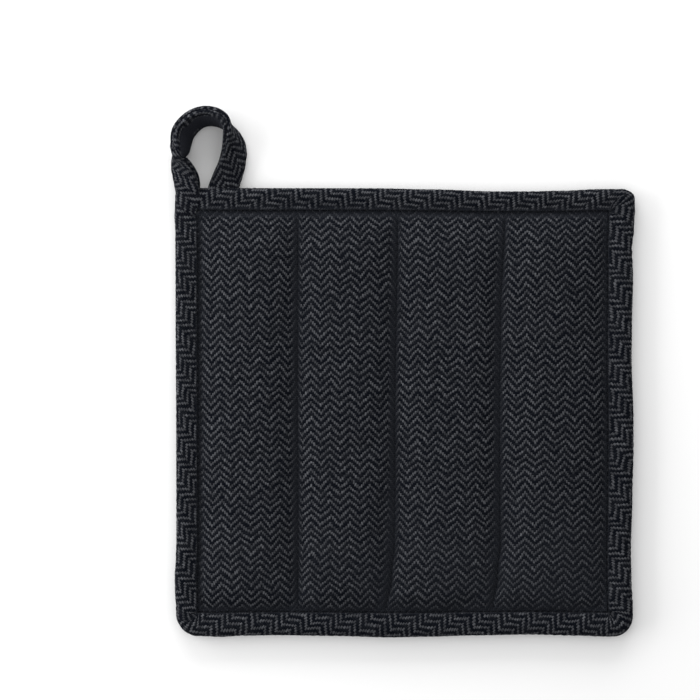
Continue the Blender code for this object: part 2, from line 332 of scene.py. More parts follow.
# %% Cotton
END_WIDTH, PICK_HEIGHT = 0.86, 0.82  # of one pale and one dark yarn, mm
DARK_YARN = (0.0018, 0.0026, 0.0050, 1.0)
PALE_YARN = (0.0508, 0.0528, 0.0586, 1.0)
# the last two are painted shade: in the ditch and the creases, and on the inside of the loop
SEAM_SHADE_CLOTH = (0.0143, 0.0158, 0.0201, 1.0)
LOOP_SHADE_CLOTH = (0.0168, 0.0180, 0.0232, 1.0)


def cotton(name, bias):
    """Woven charcoal cotton whose ends stand at an angle, in degrees, to the piece's UV map."""
    material = material_with(name, {"Roughness": 0.9, "Specular IOR Level": 0.015,
                                    "Sheen Weight": 0.008, "Sheen Roughness": 0.5})
    tree = material.node_tree
    shader = tree.nodes["Principled BSDF"]
    flat_cloth = placed(tree, "ShaderNodeUVMap", uv_map="cloth")
    turned = placed(tree, "ShaderNodeMapping", {"Vector": flat_cloth.outputs["UV"],
                                                "Rotation": (0.0, 0.0, radians(bias))})
    # the attribute "pressed" says how much painted shade a point takes
    pressed = placed(tree, "ShaderNodeAttribute", attribute_name="pressed")
    cloth = placed(tree, "ShaderNodeGroup", {
        "Cloth Point": turned.outputs["Vector"], "Painted Seam Shade": pressed.outputs["Fac"],
        "End Width": END_WIDTH * MM, "Pick Height": PICK_HEIGHT * MM, "Ends to Turn": 5.0,
        "Wander": 0.4 * MM, "Dark Yarn": DARK_YARN, "Pale Yarn": PALE_YARN,
        "Seam Shade Colour": SEAM_SHADE_CLOTH}, node_tree=weave)
    relief = placed(tree, "ShaderNodeBump", {"Height": cloth.outputs["Height"],
                                             "Strength": 0.9, "Distance": 0.35 * MM})
    tree.links.new(relief.outputs["Normal"], shader.inputs["Normal"])
    colour = cloth.outputs["Color"]
    if bias:
        # painted shade on the inside of the hanging loop, between its folds
        inside = placed(tree, "ShaderNodeAttribute", attribute_name="inside")
        shade = placed(tree, "ShaderNodeMix", {0: inside.outputs["Fac"], 6: colour,
                                               7: LOOP_SHADE_CLOTH}, data_type="RGBA")
        colour = shade.outputs[2]
    tree.links.new(colour, shader.inputs["Base Color"])
    return material


pad_cotton = cotton("quilted cotton", 0.0)
bias_cotton = cotton("bias cotton", 45.0)

# %% [markdown]
# Sewing thread is two fine plies twisted together. On a stitch half a millimetre thick,
# a slanting wave along the thread shows them well enough.

# %% Thread
thread_paint = material_with("sewing thread", {"Roughness": 0.8, "Specular IOR Level": 0.05})
tree = thread_paint.node_tree
shader = tree.nodes["Principled BSDF"]
along_thread = placed(tree, "ShaderNodeUVMap", uv_map="thread")
plies = placed(tree, "ShaderNodeTexWave", {"Vector": along_thread.outputs["UV"], "Scale": 900.0},
               bands_direction="DIAGONAL")
dye = placed(tree, "ShaderNodeValToRGB", {"Fac": plies.outputs["Fac"]})
dye.color_ramp.elements[0].color = (0.0065, 0.0076, 0.0108, 1.0)
dye.color_ramp.elements[1].color = (0.0115, 0.0128, 0.0168, 1.0)
tree.links.new(dye.outputs["Color"], shader.inputs["Base Color"])
twist = placed(tree, "ShaderNodeBump", {"Height": plies.outputs["Fac"], "Distance": 0.1 * MM})
tree.links.new(twist.outputs["Normal"], shader.inputs["Normal"])

# %% [markdown]
# ## From numbers to a mesh
#
# Every piece is a surface of two parameters, kept as a grid of points. These helpers work on
# whole arrays: they turn grids into quads, put them into a mesh, and lay the flat cloth's
# measure on it as a UV map.

# %% Surface helpers
def grid_faces(rows, columns, wrap=False):
    """Quads of a grid of points numbered along its rows; wrap joins last and first column."""
    index = np.arange(rows * columns).reshape(rows, columns)
    if wrap:
        index = np.hstack([index, index[:, :1]])
    corners = [index[:-1, :-1], index[1:, :-1], index[1:, 1:], index[:-1, 1:]]
    return np.stack(corners, -1).reshape(-1, 4)


def sewn_piece(name, points, faces, uv, uv_name, material):
    """A smooth mesh, its UV map given for each corner of each face in turn."""
    mesh = bpy.data.meshes.new(name)
    mesh.from_pydata(in_frame(points).tolist(), [], faces.tolist())
    layer = mesh.uv_layers.new(name=uv_name)
    layer.data.foreach_set("uv", (np.asarray(uv, float) * MM).ravel())
    mesh.shade_smooth()
    mesh.materials.append(material)
    mesh.validate()
    thing = in_scene(name, mesh)
    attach(thing, "root")
    print(f"{name}: {len(mesh.vertices)} points, {len(mesh.polygons)} faces")
    return thing


def close_ends(thing):
    """Caps on the open ends of a piece, and all its faces turned outwards."""
    shell = bmesh.new()
    shell.from_mesh(thing.data)
    bmesh.ops.holes_fill(shell, edges=[e for e in shell.edges if e.is_boundary], sides=0)
    bmesh.ops.recalc_face_normals(shell, faces=shell.faces)
    shell.to_mesh(thing.data)
    shell.free()


def note_points(thing, name, values):
    """A number for each point of a piece, which its material can read."""
    layer = thing.data.attributes.new(name, "FLOAT", "POINT")
    layer.data.foreach_set("value", np.asarray(values, float).ravel())


def steps_along(line):
    """Distance from each point of a line to the next."""
    return np.linalg.norm(np.diff(line, axis=0), axis=1)


def way_at(steps):
    """The steps added up, from 0 at the first point."""
    return np.concatenate([[0.0], np.cumsum(steps)])


def read_evenly(way, count, *tables):
    """Each table, whose rows lie at places on a way, read again at even steps of that way."""
    at = np.linspace(0, way[-1], count + 1)
    return [np.stack([np.interp(at, way, column) for column in table.T], 1) for table in tables]


def eased(at, rows):
    """A value read from rows of place and value, with an S-shaped step between two rows."""
    places, values = np.array(rows, float).T
    row = np.clip(np.searchsorted(places, at) - 1, 0, len(places) - 2)
    part = np.clip((at - places[row]) / (places[row + 1] - places[row]), 0.0, 1.0)
    return values[row] + (values[row + 1] - values[row]) * part * part * (3 - 2 * part)


def ripple(at, shortest, longest, count=14):
    """A wavy line with no pattern to it, about 1 high: a sum of sines of many lengths."""
    lengths = rng.uniform(shortest, longest, count)
    starts = rng.uniform(0, 2 * pi, count)
    waves = np.sin(2 * pi * np.asarray(at)[..., None] / lengths + starts)
    return waves.sum(-1) / sqrt(count)


# %% [markdown]
# ## The outline
#
# No hand-sewn square is straight. Its sides swing out and in by half a millimetre, its corners
# differ, and the binding is folded wider along the right side than along the top. One table of
# waves shapes the binding's outside and, fading inwards, the edge of the pad, so that the two
# stay together. `outline` gives the line at any distance in from the edge, with as many points
# each time, so that lines of different depths can be joined into a surface.

# %% Outline
# place along the side and distance out, mm: y for the right and left, x for the top and bottom
SIDE_WAVES = {
    "right": ((-86, 0.2), (-73, -0.4), (-61, -0.65), (-37, 0.0), (-15, 0.5), (-2, 0.45),
              (24, -0.35), (37, -0.2), (59, 0.3), (72, -0.2), (80, 0.7), (89, 1.1)),
    "top": ((-87, 0.6), (-50, 0.5), (-13, 0.45), (11, 0.0), (40, -0.9), (55, -0.9),
            (69, -0.6), (86, 0.1)),
    "left": ((-85, -0.2), (-79, 0.25), (-72, 0.4), (-64, -0.1), (-56, -0.35), (-14, -0.3),
             (49, 0.0), (78, 0.1), (90, 0.7)),
    "bottom": ((-89, 0.2), (-80, 0.55), (-71, 0.0), (-54, -0.2), (-32, 0.1), (-6, 0.75),
               (11, 0.45), (30, -0.1), (55, -0.5), (77, 0.0), (88, 0.4)),
}
WAVE_FADE = 0.06  # share of a wave that is lost with each mm inwards
SHOWN = {"right": 1.06, "top": 0.92, "left": 0.93, "bottom": 1.02}  # of BINDING_WIDTH, there
CORNER_SIGNS = np.array([(1, -1), (1, 1), (-1, 1), (-1, -1)])
CORNER_RADII = (8.5, 4.5, 10.3, 10.0)  # bottom right, top right, top left, bottom left
LEAST_RADIUS = 0.3
SIDE_STEPS, CORNER_STEPS, ARC_POINTS = 200, 16, 25


def waves(points, facing):
    """How far out the sides that a direction faces stand, in x and in y."""
    x, y = points.T
    right, left, top, bottom = (eased(at, SIDE_WAVES[side]) for at, side in (
        (y, "right"), (y, "left"), (x, "top"), (x, "bottom")))
    return np.stack([np.where(facing[:, 0] > 0, right, left),
                     np.where(facing[:, 1] > 0, top, bottom)], axis=1)


def round_corner(k, inset):
    """Points and facings round one corner: a short straight, the arc and a short straight.

    The straights reach back past the place where the binding's inner edge turns, so that the
    cloth fans out at the corner alone and runs square along the sides.
    """
    sign, radius = CORNER_SIGNS[k], CORNER_RADII[k]
    full = np.array([WIDTH, HEIGHT]) / 2
    shown = np.array([SHOWN["right" if sign[0] > 0 else "left"],
                      SHOWN["top" if sign[1] > 0 else "bottom"]])
    r = max(radius - inset, LEAST_RADIUS)
    angle = radians(-90 + 90 * k) + np.linspace(0, pi / 2, ARC_POINTS)
    facing = np.stack([np.cos(angle), np.sin(angle)], axis=1)
    arc = sign * (full - inset * shown - r) + r * facing
    path = np.vstack([arc[:1], arc, arc[-1:]])
    straight_from = sign * (full - max(radius, BINDING_WIDTH * shown.max()) - 0.4)
    path[0, k % 2] = straight_from[k % 2]
    path[-1, 1 - k % 2] = straight_from[1 - k % 2]
    facing = np.vstack([facing[:1], facing, facing[-1:]])
    return read_evenly(way_at(steps_along(path)), CORNER_STEPS, path, facing)


def outline(inset):
    """The corners and sides in turn, anticlockwise from the bottom right corner.

    A rectangle whose corners are arcs, pushed out along its normal by the waves of its sides.
    """
    corners = [round_corner(k, inset) for k in range(4)]
    t = np.linspace(0, 1, SIDE_STEPS + 1)[1:-1, None]
    blocks = []
    for k, (corner, facing) in enumerate(corners):
        side = corner[-1] + (corners[(k + 1) % 4][0][0] - corner[-1]) * t
        side_facing = np.repeat(facing[-1:], len(t), axis=0)
        for line, facings in ((corner, facing), (side, side_facing)):
            blocks.append(line + facings * waves(line, facings) * (1 - WAVE_FADE * inset))
    return blocks


edge = np.vstack(outline(0.0))
print("square over the binding, mm:", (edge.max(0) - edge.min(0)).round(1))

# %% [markdown]
# ## The quilted pad
#
# A quilt's face rises steeply out of a stitch line, where the thread holds it down, and then
# arches over the wadding. So the height over a channel is the sum of a part that is nearly
# complete 3 mm from the seam and a shallow arch over the whole width. The same two parts bring
# it down to the binding at both ends, where a narrow ditch stays flat beside the thick folded
# strip. The stitch lines drift by a few millimetres and bend near the bottom edge. The back is
# made in the same way and pressed flat by the table.

# %% Pad profile
# the thread's three lines up the pad: y, and x there, mm
STITCH_LINES = (
    ((-87.7, -46.5), (-50, -46.4), (0, -46.6), (87.7, -46.5)),
    ((-87.7, -8.0), (-72, -5.6), (-58, -4.4), (-44, -4.1), (0, -4.1), (87.7, -2.9)),
    ((-87.7, 38.5), (-72, 40.7), (-58, 41.9), (0, 41.7), (40, 42.1), (87.7, 44.0)),
)
CHANNEL_CROWNS = (0.98, 1.0, 0.99, 1.0)
LIP_Z, STITCH_Z, CROWN_Z = 4.6, 5.1, 9.7  # the front: at the binding, a stitch line, a crown
BACK_LIP_Z, BACK_STITCH_Z, BACK_DROP = 2.5, 2.15, 5.0  # the back, and its drop to a crown
STEEP_SHARE, STEEP_REACH = 0.46, 1.15  # of the fullness, and within how many mm
END_REACH = 19.0  # of the arch that falls to the binding at both ends, mm
DITCH = {"right": 1.0, "top": 1.6, "left": 1.0, "bottom": 1.0}  # flat beside the binding, mm
TOE = 2.7  # and low for this far, mm
PAD_ENDS, PAD_SIDES = (
    [half - BINDING_WIDTH * SHOWN[side] - DITCH[side] for side in sides]
    for half, sides in ((HEIGHT / 2, ("bottom", "top")), (WIDTH / 2, ("left", "right"))))


def channel_edges(y):
    """x of the binding's inner edges and of the three stitch lines, for each y."""
    lines = [eased(y, line) for line in STITCH_LINES]
    return np.array([np.full_like(y, -PAD_SIDES[0]), *lines, np.full_like(y, PAD_SIDES[1])])


def fullness(distance, reach, toe=0.0):
    """From 0 at a seam to 1: a steep part that is over in a few mm, and an arch over the reach.

    A toe keeps the cloth low for a little way first, as beside the binding's raised edge.
    """
    distance = np.sqrt(distance**2 + np.square(toe)) - toe
    steep = 1 - np.exp(-((distance / STEEP_REACH) ** 1.15))
    arch = 1 - (1 - np.clip(distance / reach, 0, 1)) ** 2
    return STEEP_SHARE * steep + (1 - STEEP_SHARE) * arch


# %% Pad surface
RIM = 2.6  # from the binding's outside to where the pad's two faces meet, mm
UNDER_BINDING = 2.5  # from the channels' ends to the next row outwards, mm
ROWS_AT_ENDS = np.array([0.6, 1.3, 2.0, 2.8, 3.7, 4.9, 6.5, 8.4])  # in from a channel's end, mm
MIDDLE_STEPS, CHANNEL_STEPS = 70, 18
PAD_RADII = (8.5, 4.5, 2.9, 10.0)  # the corners again; the top left one is squarer inside


def pad_surface():
    """Columns across the channels and rows up them: x, y, heights of front and back, the front's
    without the fall towards the ends, and the distance from the nearest seam.

    Over a channel the height is the seam's and, by the fullness, part of the way to the crown.
    """
    low, top = -PAD_ENDS[0], PAD_ENDS[1]
    rim_x, rim_y = WIDTH / 2 - RIM, HEIGHT / 2 - RIM
    middle = np.linspace(low + ROWS_AT_ENDS[-1], top - ROWS_AT_ENDS[-1], MIDDLE_STEPS + 1)
    y = np.concatenate([[-rim_y, low - UNDER_BINDING, low], low + ROWS_AT_ENDS, middle[1:-1],
                        top - ROWS_AT_ENDS[::-1], [top, top + UNDER_BINDING, rim_y]])
    edges = channel_edges(y)
    ends = fullness(np.clip(np.minimum(y - low, top - y), 0, None), END_REACH, TOE)

    def under_binding(x):
        """A column beside the channels, level with the lip."""
        return np.broadcast_arrays(x, LIP_Z, BACK_LIP_Z, LIP_Z, np.zeros_like(y))

    columns = [under_binding(-rim_x), under_binding(edges[0] - UNDER_BINDING)]
    shares = (1 - np.cos(np.linspace(0, pi, CHANNEL_STEPS + 1))) / 2
    for k, crown in enumerate(CHANNEL_CROWNS):
        seams = [0 < j < 4 for j in (k, k + 1)]
        a, b = (STITCH_Z if seam else LIP_Z for seam in seams)
        back_a, back_b = (BACK_STITCH_Z if seam else BACK_LIP_Z for seam in seams)
        span = edges[k + 1] - edges[k]
        for u in shares[: None if k == 3 else -1]:
            distance = min(u, 1 - u) * span
            toe = TOE * (u < 0.5) * (k == 0) + TOE * (u > 0.5) * (k == 3)
            full = crown * fullness(distance, span / 2, toe)
            floor, back_floor = a + (b - a) * u, back_a + (back_b - back_a) * u
            height = floor + (CROWN_Z - floor) * full
            columns.append([edges[k] + span * u, LIP_Z + (height - LIP_Z) * ends,
                            BACK_LIP_Z + ((back_floor - BACK_LIP_Z) - BACK_DROP * full) * ends,
                            height, distance])
    columns += [under_binding(edges[-1] + UNDER_BINDING), under_binding(rim_x)]
    x, front, back, channel, seam = np.stack(columns, axis=1)
    return x, np.broadcast_to(y, x.shape), front, back, channel, seam


def to_outline(x, y):
    """Points of the square grid drawn in at the round corners and pushed out with the waves."""
    half = np.array([WIDTH, HEIGHT]) / 2 - RIM
    points = np.stack([x, y], axis=-1).reshape(-1, 2)
    for sign, radius in zip(CORNER_SIGNS, PAD_RADII):
        r = max(radius - RIM, LEAST_RADIUS)
        past = points * sign - (half - r)
        inside = (past > 0).all(axis=1)
        drawn = past * (past.max(axis=1) / np.maximum(np.hypot(*past.T), 1e-9))[:, None]
        points[inside] = ((half - r) + drawn[inside]) * sign
    near = 1 - np.clip((half - np.abs(points) - BINDING_WIDTH) / 25.0, 0.0, 1.0)
    points = points + np.sign(points) * 0.4 * near * waves(points, np.sign(points))
    return points.reshape(*x.shape, 2)


x, y, front_z, back_z, channel_z, seam_distance = pad_surface()
plan = to_outline(x, y)
print("pad grid:", x.shape, "crown at", round(front_z.max(), 2), "mm, stitch lines at", STITCH_Z)

# %% [markdown]
# The thread draws the cloth together along a seam, so the cloth beside it puckers: small folds
# cross the seam's shoulder and die out a few millimetres further on, different on each side.
# They are only begun here, and the cloth simulation further down carries them on. Wide, very
# low swells stand for wadding that is never quite even.

# %% Puckers and uneven wadding
PUCKER, SWELL = 0.16, 0.16  # heights, mm
OVER_TABLE = 0.03  # the cloth's least height, mm


def puckers(x, y, distance):
    """Folds beside the seams: a wavy line along the seam, fading with the distance from it."""
    near = np.exp(-((distance / 4.5) ** 1.4)) * (1 - np.exp(-distance / 0.9))
    sides = np.round((x + 110) / 7.0)  # neighbouring sides of a seam get different folds
    return near * ripple(y + 37.0 * sides, 4.5, 12.0)


def uneven(x, y):
    """Swells a few centimetres wide, as the product of two wavy lines across each other."""
    return ripple(x + 0.35 * y, 24, 60) * ripple(y - 0.25 * x, 24, 60)


loose = np.clip(seam_distance / 6.0, 0, 1) * np.clip((PAD_ENDS[0] - np.abs(y)) / 12.0, 0, 1)
front_z = front_z + PUCKER * puckers(x, y, seam_distance) + SWELL * loose * uneven(x, y)
back_z = np.maximum(back_z + PUCKER * puckers(x, y, seam_distance), OVER_TABLE)

# %% [markdown]
# The weave must not stretch where the cloth dives into a seam, so the UV map is the way along
# the surface: across, the length of each row from the middle of the pad over the full channels,
# and upwards, the mean length of the columns. A stitch line also holds a little cloth down in
# its crease, where it can't be seen, so the measure jumps there.

# %% Measure of the pad's cloth
TAKEN_IN = (1.3, 2.4, 2.1)  # cloth that each stitch line holds down in its crease, mm
MORE_BELOW = 0.45  # and more of it at the bottom end, less at the top, mm
COLUMN_ANCHOR = -15.1  # x of a zigzag's point near the middle, mm
ANCHOR_ENDS = 5.5  # and how many ends across the cloth that point lies


def cloth_lengths(plan, z):
    """Length along the surface, for each point, across from the anchor and up the pad."""
    steps = np.linalg.norm(np.diff(np.dstack([plan, channel_z]), axis=0), axis=2)
    across = np.vstack([np.zeros_like(steps[:1]), np.cumsum(steps, axis=0)])
    for line, taken in zip(channel_edges(plan[0, :, 1])[1:-1], TAKEN_IN):
        taken = taken - MORE_BELOW * plan[0, :, 1] / 87
        across = across + taken / (1 + np.exp(-np.clip((plan[..., 0] - line) / 0.35, -40, 40)))
    anchor = [np.interp(COLUMN_ANCHOR, plan[:, j, 0], across[:, j]) for j in range(plan.shape[1])]
    up = way_at(np.linalg.norm(np.diff(np.dstack([plan, z]), axis=1), axis=2).mean(axis=0))
    across = across - np.array(anchor) + ANCHOR_ENDS * END_WIDTH
    return np.dstack([across, np.broadcast_to(up - up.mean(), across.shape)])


front_uv = cloth_lengths(plan, front_z).reshape(-1, 2)
back_uv = cloth_lengths(plan, back_z).reshape(-1, 2) + 3.1  # the back's pattern lies elsewhere
print("cloth taken up across the pad, mm:",
      round(float(np.ptp(front_uv[:, 0]) - np.ptp(plan[..., 0])), 1))

# %% [markdown]
# Each point also carries a number by which the weave group blends its yarns into one dark tone,
# which is painted shade: fully in the ditch, in the creases and at the top right corner, a little
# in uneven patches, and more towards the bottom right corner, which lies away from the lamps.

# %% Where shade is painted on the pad
# widths of the painted shade along the stitch lines, leaning left onto the wall that faces away
# from the left lamp
CREASE_WIDTHS, CREASE_LEAN = (2.6, 3.2, 3.4), 0.6  # of the stitch lines, leaning left, mm
WIDER_BELOW = (0.0, 1.1, 1.0)  # at the bottom end of each crease, mm
SHADE_SIDE, SHADE_END, SHADE_CORNER = 1.3, 1.8, 1.5  # in from the ditch, mm
CORNER_REACH = 6.0  # of the quarter circle that is the channels' top right corner, mm


def seam_shade_share(x, y):
    """1 inside the bands of painted shade and 0 outside, with an uneven border between them."""
    border = 0.3 * ripple(x + y, 6.0, 19.0)
    from_side = np.minimum(x + PAD_SIDES[0], PAD_SIDES[1] - x) - SHADE_SIDE
    from_end = np.minimum(y + PAD_ENDS[0], PAD_ENDS[1] - y) - SHADE_END
    into = np.clip(CORNER_REACH - np.stack([PAD_SIDES[1] - x, PAD_ENDS[1] - y]), 0, None)
    from_corner = np.where(into.min(axis=0) > 0, CORNER_REACH - np.hypot(*into) - SHADE_CORNER,
                           99.0)
    wider = np.clip(-y[..., None] / 70, 0, 1) * WIDER_BELOW
    off_line = x[..., None] - channel_edges(y[0])[1:-1].T + CREASE_LEAN + wider / 2
    from_line = (np.abs(off_line) - (CREASE_WIDTHS + wider) / 2).min(axis=-1)
    outside = np.min([from_side, from_end, from_line, from_corner], axis=0)
    pressed = 1 / (1 + np.exp(np.clip((outside + border) / 0.22, -40, 40)))
    # along the top the ditch is the shallowest and takes the least painted shade, as the far
    # lamp's real shadow darkens it already
    return pressed * (1 - 0.1 * np.clip((y - PAD_ENDS[1] + 5.0) / 3.0, 0, 1))


def corner_shade_patches(x, y):
    """Uneven patches of painted shade that grow with the closeness to the bottom right corner."""
    towards_corner = np.clip(0.5 + x / WIDTH, 0, 1) * np.clip(-2 * y / HEIGHT, 0, 1) ** 2
    return np.clip(0.55 + 0.5 * uneven(x, y), 0, 1) * (0.04 + 1.5 * towards_corner)


# painted shade in the ditch and the creases, and in patches towards the bottom right corner
pressed = np.maximum(seam_shade_share(x, y), corner_shade_patches(x, y)).ravel()
print("share of the cloth's points that lie pressed:", (pressed > 0.5).mean().round(2))

# %% [markdown]
# Front and back are two copies of the grid, joined by a narrow rim inside the binding. The front
# starts a little flatter than it ends, because the filling makes it swell.

# %% Pad piece
START_SHARE = 0.86  # of the fullness: the simulation adds the rest

columns, rows = x.shape
shallow_top = 0.8 * np.exp(-(((y - PAD_ENDS[1]) / np.where(y > PAD_ENDS[1], 1.2, 3.0)) ** 2))
front = np.dstack([plan, front_z + shallow_top]).reshape(-1, 3)
front[:, 2] = LIP_Z + (front[:, 2] - LIP_Z) * START_SHARE
back = np.dstack([plan, back_z]).reshape(-1, 3)
quads = grid_faces(columns, rows)
index = np.arange(columns * rows).reshape(columns, rows)
rim = np.concatenate([index[:, 0], index[-1, 1:], index[-2::-1, -1], index[0, -2:0:-1]])
next_on_rim = np.roll(rim, -1)
rim_quads = np.stack([rim, rim + index.size, next_on_rim + index.size, next_on_rim], axis=1)
pad_faces = np.vstack([quads, quads[:, ::-1] + index.size, rim_quads])
pad_uv = np.vstack([front_uv, back_uv])[pad_faces]
pad = sewn_piece("quilted_pad", np.vstack([front, back]), pad_faces, pad_uv, "cloth", pad_cotton)
# the attribute "pressed" carries the painted shade to the weave group
note_points(pad, "pressed", np.concatenate([pressed, pressed]))
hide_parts("pad")

# %% [markdown]
# ## Filling the pad
#
# Blender's cloth simulation makes the small buckles of cloth that is held by thread: the seams
# and the edge are held, the cloth is a little too long, and air pressure takes the wadding's
# place. Gravity is off, since wadding holds the cloth up. No point may move past a limit.

# %% Cloth simulation
SLACK = -0.005  # below zero: the cloth is half a hundredth too long for its shape
PRESSURE = 4.0
FILL_LIMIT = 0.9  # mm
FRAMES = 20


def points_in_mm(mesh):
    """The points of a mesh, in millimetres from the frame's origin."""
    flat = np.empty(len(mesh.vertices) * 3)
    mesh.vertices.foreach_get("co", flat)
    return flat.reshape(-1, 3) / MM


def filled(thing, held, limit):
    """Points of a closed mesh, in mm, after the cloth simulation has blown it up."""
    before = points_in_mm(thing.data)
    group = thing.vertex_groups.new(name="held")
    group.add(np.flatnonzero(held).tolist(), 1.0, "REPLACE")
    cloth = thing.modifiers.new("filling", "CLOTH")
    cloth.settings.vertex_group_mass = group.name
    cloth.settings.quality = 6
    cloth.settings.use_pressure = True
    cloth.settings.uniform_pressure_force = PRESSURE
    cloth.settings.shrink_min = SLACK
    cloth.settings.effector_weights.gravity = 0.0
    cloth.collision_settings.use_collision = False
    cloth.point_cache.frame_start, cloth.point_cache.frame_end = 1, FRAMES
    for frame_number in range(1, FRAMES + 1):
        bpy.context.scene.frame_set(frame_number)
    seen = thing.evaluated_get(bpy.context.evaluated_depsgraph_get())
    move = points_in_mm(seen.data) - before
    thing.modifiers.remove(cloth)
    thing.vertex_groups.remove(group)
    bpy.context.scene.frame_set(1)
    size = np.linalg.norm(move, axis=1)
    print("moved by the filling, before the limit, mm: mean", size.mean().round(2),
          "most", size.max().round(2))
    return before + move * np.minimum(1.0, limit / np.maximum(size, 1e-9))[:, None]


on_seam = (seam_distance == 0) | (np.minimum(y + PAD_ENDS[0], PAD_ENDS[1] - y) <= 0)
held = np.concatenate([on_seam.ravel(), (on_seam | (back_z < 0.3)).ravel()])
shape = filled(pad, held, FILL_LIMIT)
shape[:, 2] = np.maximum(shape[:, 2], OVER_TABLE)
pad.data.vertices.foreach_set("co", (shape * MM).ravel())
pad.data.update()
print("crown after filling, mm:", shape[:, 2].max().round(2))

finer = pad.modifiers.new("finer", "SUBSURF")
finer.levels = finer.render_levels = 1

# %% [markdown]
# ## The strip: binding and loop in one
#
# A maker folds both raw edges of a bias strip in, folds it in half over the pad's edge and sews
# through everything. This strip starts at the top left corner, goes clockwise round the pad and,
# back at that corner, leaves it to become the loop. It is one length of cloth, so it is one
# surface here: a section carried along a path. Over the pad the section is an open C that holds
# the pad's edge, and in the loop its two halves lie together with only a crease between them.

# %% Section of the strip
TAPE_WIDTH, TAPE_THICKNESS = 13.0, 3.6  # of the closed strip in the loop, mm
SLOT_HALF, CREASE_HALF = 1.25, 0.04  # half the gap that holds the pad, and what always stays
SLOT_DEPTH, CREASE_DEPTH = 7.4, 1.3
FACE_STEPS, LIP_STEPS, SLOT_STEPS = 18, 6, 3


def edge_of_binding(share):
    """Height of the binding's face over its middle: round at the edge, pressed at the seam."""
    inset = share * BINDING_WIDTH
    rounding = (1 - np.clip(1 - inset / 4.0, 0, 1) ** 2.4) ** 0.5
    pressed = 0.33 * np.clip((inset - 3.5) / 6.5, 0, 1) ** 1.7
    return BINDING_HALF * (rounding - pressed)


def edge_of_tape(share, width, half):
    """Height of the closed strip's face over its middle: half a circle, then slightly full."""
    inset = share * width
    rounding = np.sqrt(np.clip(1 - np.clip(1 - inset / half, 0, 1) ** 2, 0, 1))
    return half * rounding + 0.22 * np.sin(pi * share)


def half_section(width, thick, open_share):
    """From the slot's end round the lip to the edge: inset from the edge, and height.

    open_share is 1 over the pad and 0 in the loop. The lip's thickness is what is left between
    the face and the slot.
    """
    def face(share):
        tape = edge_of_tape(share, width, thick / 2)
        bound = edge_of_binding(share) * thick / (2 * BINDING_HALF)
        return open_share * bound + (1 - open_share) * tape

    gap = SLOT_HALF * open_share + CREASE_HALF
    depth = SLOT_DEPTH * open_share + CREASE_DEPTH * (1 - open_share)
    lip_middle = width - (face(0.95) - gap) / 2
    ease = (1 - np.cos(np.linspace(0, pi / 2, FACE_STEPS + 1))) * (1 - 1e-9)
    inset = ease * lip_middle
    height = face(inset / width)
    height[-1] = face(lip_middle / width)
    around = np.linspace(pi / 2, -pi / 2, LIP_STEPS + 1)[1:]
    arc = np.stack([np.cos(around), np.sin(around)], 1)
    square = np.sign(arc) * np.abs(arc) ** (0.5 if open_share else 0.35)  # nearly square
    lip_r = (height[-1] - gap) / 2
    lip = [lip_middle, gap + lip_r] + lip_r * square
    slot = np.stack([np.linspace(lip_middle, width - depth, SLOT_STEPS + 1)[1:],
                     np.full(SLOT_STEPS, gap)], 1)
    return np.vstack([np.stack([inset, height], 1), lip, slot])[::-1]


def whole_section(width, thick, open_share):
    """All round: up the top half from the slot to the edge, and back along the lower half.

    The lower half is the upper one turned over, and pressed flat by the table over the pad.
    """
    top = half_section(width, thick, open_share)
    low = top * [1, -1]
    outside = np.arange(len(low)) >= SLOT_STEPS + LIP_STEPS // 2
    flat = np.where(outside, -np.minimum(1.15 * -low[:, 1], thick / 2), low[:, 1])
    low[:, 1] = flat * open_share + low[:, 1] * (1 - open_share)
    return np.vstack([top, low[-2::-1]])


bound = whole_section(BINDING_WIDTH, 2 * BINDING_HALF, 1.0)
tape = whole_section(TAPE_WIDTH, TAPE_THICKNESS, 0.0)
print("points round the strip:", len(bound), "| binding section", np.ptp(bound, axis=0).round(1),
      "mm, loop section", np.ptp(tape, axis=0).round(1), "mm")

# %% [markdown]
# The loop's path gives, for some places, where the strip's middle is, how far it is turned from
# lying flat, and how wide, thick, high and open it is. A smooth cubic goes through all of them.
# At about 90 degrees the strip stands on its edge. Past that its back is up, and that side,
# darkened by painted shade in its material, shows smooth round the top of the loop.

# %% Path of the loop
# x, y, turn in degrees, width, thickness
LOOP_ROUTE = (
    (-95.85, 86.9, 0, 9.2, 7.2), (-95.1, 92.4, 0, 10.3, 6.9), (-94.8, 97.0, 3, 10.6, 6.2),
    (-95.5, 101.5, 28, 11.6, 4.8), (-96.7, 105.0, 46, 12.6, 4.0), (-98.1, 108.6, 61, 13.0, 3.8),
    (-98.9, 111.6, 86, 13.0, 4.8), (-98.0, 114.2, 112, 13.0, 4.2), (-97.3, 117.2, 120, 13.0, 3.6),
    (-96.4, 122.0, 128, 13.0, 3.6), (-93.4, 126.0, 127, 13.0, 3.6), (-89.6, 128.5, 122, 13.0, 3.6),
    (-85.5, 129.3, 118, 13.0, 3.6), (-81.3, 128.5, 111, 13.0, 3.8), (-78.0, 126.0, 97, 13.0, 4.2),
    (-75.2, 120.9, 66, 13.0, 3.8), (-74.0, 115.2, 42, 12.5, 3.6), (-75.1, 108.4, 29, 12.4, 3.6),
    (-77.3, 102.6, 16, 12.7, 3.6), (-79.4, 97.0, 8, 13.0, 3.6), (-80.2, 93.2, 6, 12.6, 3.4),
)
LOWER_EDGE = (0.0, 0.1, 0.3, *[0.35] * 17, 0.9)  # its height in each row
OPENNESS = (1.0, 0.75, 0.25, *[0.0] * 18)  # from the open C to the closed strip
LOOP_STEP = 0.9  # mm


